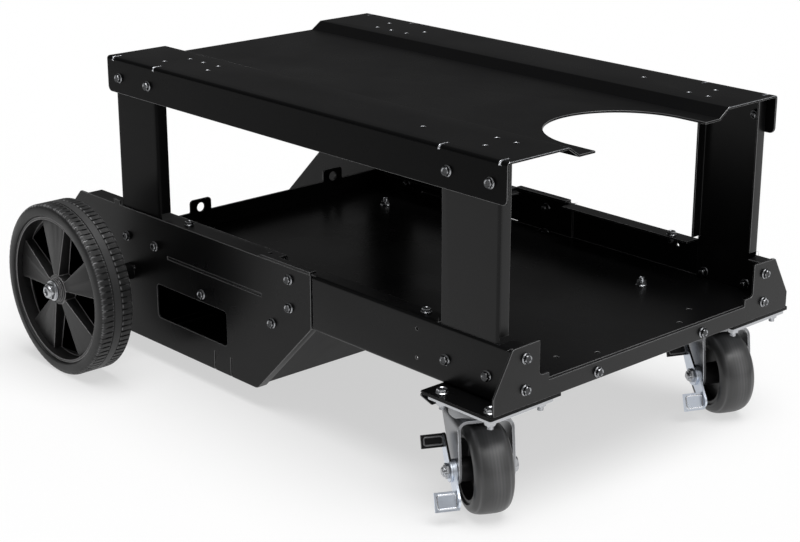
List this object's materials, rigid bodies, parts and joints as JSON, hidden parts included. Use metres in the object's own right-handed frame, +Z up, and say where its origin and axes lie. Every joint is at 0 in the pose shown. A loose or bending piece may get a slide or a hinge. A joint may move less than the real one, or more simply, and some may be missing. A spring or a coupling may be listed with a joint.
{
  "type": "welding cart",
  "caption": "Low two-deck welding cart in bent black sheet steel, with large fixed rear wheels, braked swivel casters and a rear gas cylinder platform.",
  "frame": {"origin": "on the floor, below the middle of the overall box", "axes": "+X towards the swivel casters, +Y towards the cart's left side, +Z up"},
  "size_m": [1.1075, 0.8016, 0.449],
  "materials": {
    "black_coat": "semi-gloss powder coat",
    "bright_zinc": "bright zinc plate",
    "tyre_rubber": "matte rubber",
    "caster_rubber": "satin rubber",
    "moulded_black": "satin moulded"
  },
  "bodies": {
    "frame": {"top_shelf": "black_coat", "upright_rear_left": "black_coat", "upright_rear_right": "black_coat", "upright_front_left": "black_coat", "upright_front_right": "black_coat", "base_tray": "black_coat", "side_panel_left": "black_coat", "side_panel_right": "black_coat", "cylinder_platform": "black_coat", "rear_wall": "black_coat", "inner_rail_left": "black_coat", "inner_rail_right": "black_coat", "front_plate": "black_coat", "caster_bracket_left": "black_coat", "caster_bracket_right": "black_coat", "shelf_bolts": "bright_zinc", "shelf_nuts": "bright_zinc", "upright_bolts": "bright_zinc", "upright_nuts": "bright_zinc", "panel_bolts": "bright_zinc", "panel_nuts": "bright_zinc", "front_bolts": "bright_zinc", "front_nuts": "bright_zinc", "caster_bolts": "bright_zinc", "caster_nuts": "bright_zinc", "floor_bolts": "bright_zinc", "floor_nuts": "bright_zinc", "rim_bolts": "bright_zinc", "rim_nuts": "bright_zinc", "axle": "bright_zinc", "axle_spacers": "black_coat", "axle_washers": "bright_zinc", "axle_nuts": "bright_zinc", "caster_plate_left": "bright_zinc", "caster_plate_right": "bright_zinc", "kingpin_left": "bright_zinc", "kingpin_right": "bright_zinc"},
    "rear_wheel_left": {"tyre_left": "tyre_rubber", "rim_left": "moulded_black", "wheel_bushes_left": "bright_zinc"},
    "rear_wheel_right": {"tyre_right": "tyre_rubber", "rim_right": "moulded_black", "wheel_bushes_right": "bright_zinc"},
    "caster_swivel_left": {"caster_fork_left": "bright_zinc", "swivel_balls_left": "bright_zinc", "caster_sleeve_left": "bright_zinc", "caster_axle_left": "bright_zinc"},
    "caster_wheel_left": {"caster_tread_left": "caster_rubber", "caster_core_left": "moulded_black"},
    "brake_left": {"brake_lever_left": "black_coat", "brake_pedal_left": "bright_zinc"},
    "caster_swivel_right": {"caster_fork_right": "bright_zinc", "swivel_balls_right": "bright_zinc", "caster_sleeve_right": "bright_zinc", "caster_axle_right": "bright_zinc"},
    "caster_wheel_right": {"caster_tread_right": "caster_rubber", "caster_core_right": "moulded_black"},
    "brake_right": {"brake_lever_right": "black_coat", "brake_pedal_right": "bright_zinc"}
  },
  "joints": [
    {"name": "rear_wheel_left_roll", "type": "hinge", "parent": "frame", "child": "rear_wheel_left", "pos_m": [-0.244, 0.358, 0.127], "axis": [0, 1, 0], "continuous": true},
    {"name": "rear_wheel_right_roll", "type": "hinge", "parent": "frame", "child": "rear_wheel_right", "pos_m": [-0.244, -0.358, 0.127], "axis": [0, 1, 0], "continuous": true},
    {"name": "caster_left_swivel", "type": "hinge", "parent": "frame", "child": "caster_swivel_left", "pos_m": [0.472, 0.231, 0.13], "axis": [0, 0, 1], "continuous": true},
    {"name": "caster_left_roll", "type": "hinge", "parent": "caster_swivel_left", "child": "caster_wheel_left", "pos_m": [0.49748, 0.21939, 0.057], "axis": [0.4147, 0.91, 0], "continuous": true},
    {"name": "brake_left_press", "type": "hinge", "parent": "caster_swivel_left", "child": "brake_left", "pos_m": [0.49748, 0.21939, 0.057], "axis": [0.4147, 0.91, 0], "range_deg": [0, 12]},
    {"name": "caster_right_swivel", "type": "hinge", "parent": "frame", "child": "caster_swivel_right", "pos_m": [0.472, -0.231, 0.13], "axis": [0, 0, 1], "continuous": true},
    {"name": "caster_right_roll", "type": "hinge", "parent": "caster_swivel_right", "child": "caster_wheel_right", "pos_m": [0.49672, -0.24415, 0.057], "axis": [0.4695, 0.8829, 0], "continuous": true},
    {"name": "brake_right_press", "type": "hinge", "parent": "caster_swivel_right", "child": "brake_right", "pos_m": [0.49672, -0.24415, 0.057], "axis": [0.4695, 0.8829, 0], "range_deg": [0, 12]}
  ]
}
